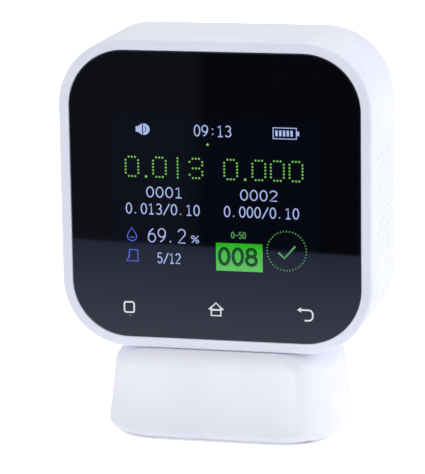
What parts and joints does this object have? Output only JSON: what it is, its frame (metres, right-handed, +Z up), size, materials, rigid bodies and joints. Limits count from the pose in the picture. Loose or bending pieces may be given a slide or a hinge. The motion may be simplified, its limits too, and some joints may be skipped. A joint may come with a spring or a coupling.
{
  "type": "desktop air quality monitor",
  "caption": "Rounded-square touch display head with perforated side walls that swivels on a weighted pedestal and has a charging port and a push button at the back.",
  "frame": {"origin": "middle of the footprint, on the surface that the feet stand on", "axes": "+Z up, the display faces -Y, +X to the viewer's right"},
  "size_m": [0.0864, 0.0452, 0.1102],
  "materials": {
    "white_abs": "injection-moulded ABS, satin with a very fine spark texture",
    "black_glass": "flat toughened glass, back-printed black, polished",
    "display": "lit colour display module",
    "adhesive_tape": "black double-sided foam tape",
    "zinc_plated_steel": "bright zinc plate",
    "spring_steel": "tempered strip",
    "cast_iron": "as cast",
    "circuit_board": "glass-epoxy board with green solder mask",
    "dark_plastic": "moulded, matt black",
    "pale_plastic": "moulded, off-white",
    "grey_plastic": "injection-moulded ABS, matt light grey",
    "copper_film": "flexible circuit film",
    "battery_foil": "laminated pouch foil",
    "wire_insulation": "soft insulated leads",
    "label_stock": "blank sticker, satin",
    "grey_rubber": "moulded, matt",
    "nylon": "natural nylon"
  },
  "bodies": {
    "base": {"base_shell": "white_abs", "base_plate": "grey_plastic", "ballast_weight": "cast_iron", "glide_ring": "nylon", "base_screw_1": "zinc_plated_steel", "base_screw_2": "zinc_plated_steel", "base_screw_3": "zinc_plated_steel", "base_screw_4": "zinc_plated_steel", "foot_1": "grey_rubber", "foot_2": "grey_rubber", "foot_3": "grey_rubber", "foot_4": "grey_rubber"},
    "head": {"front_housing": "white_abs", "front_glass": "black_glass", "glass_adhesive": "adhesive_tape", "lcd_panel": "display", "lcd_frame": "zinc_plated_steel", "lcd_ribbon": "copper_film", "touch_key_board": "circuit_board", "main_board": "circuit_board", "main_chip": "dark_plastic", "sounder": "dark_plastic", "formaldehyde_sensor": "pale_plastic", "gas_sensor": "zinc_plated_steel", "humidity_sensor": "pale_plastic", "rear_cover": "white_abs", "rating_label": "label_stock", "battery_pack": "battery_foil", "battery_lead": "wire_insulation", "board_cable": "wire_insulation", "charge_board": "circuit_board", "usb_socket": "zinc_plated_steel", "power_switch": "dark_plastic", "swivel_post": "zinc_plated_steel", "tab_washer": "zinc_plated_steel", "friction_washer": "spring_steel", "lock_nut": "zinc_plated_steel", "post_screw_1": "zinc_plated_steel", "post_screw_2": "zinc_plated_steel", "cover_screw_1": "zinc_plated_steel", "cover_screw_2": "zinc_plated_steel", "cover_screw_3": "zinc_plated_steel", "cover_screw_4": "zinc_plated_steel", "board_screw_1": "zinc_plated_steel", "board_screw_2": "zinc_plated_steel", "board_screw_3": "zinc_plated_steel", "board_screw_4": "zinc_plated_steel"},
    "button": {"power_button": "white_abs", "switch_plunger": "pale_plastic"}
  },
  "joints": [
    {"name": "head_swivel", "type": "hinge", "parent": "base", "child": "head", "pos_m": [0, 0, 0.0247], "axis": [0, 0, 1], "range_deg": [-45, 45]},
    {"name": "power_press", "type": "slide", "parent": "head", "child": "button", "axis": [0, -1, 0], "range_m": [0, 0.0006], "stiffness_N_per_m": 1500, "springref_m": -0.0003}
  ]
}
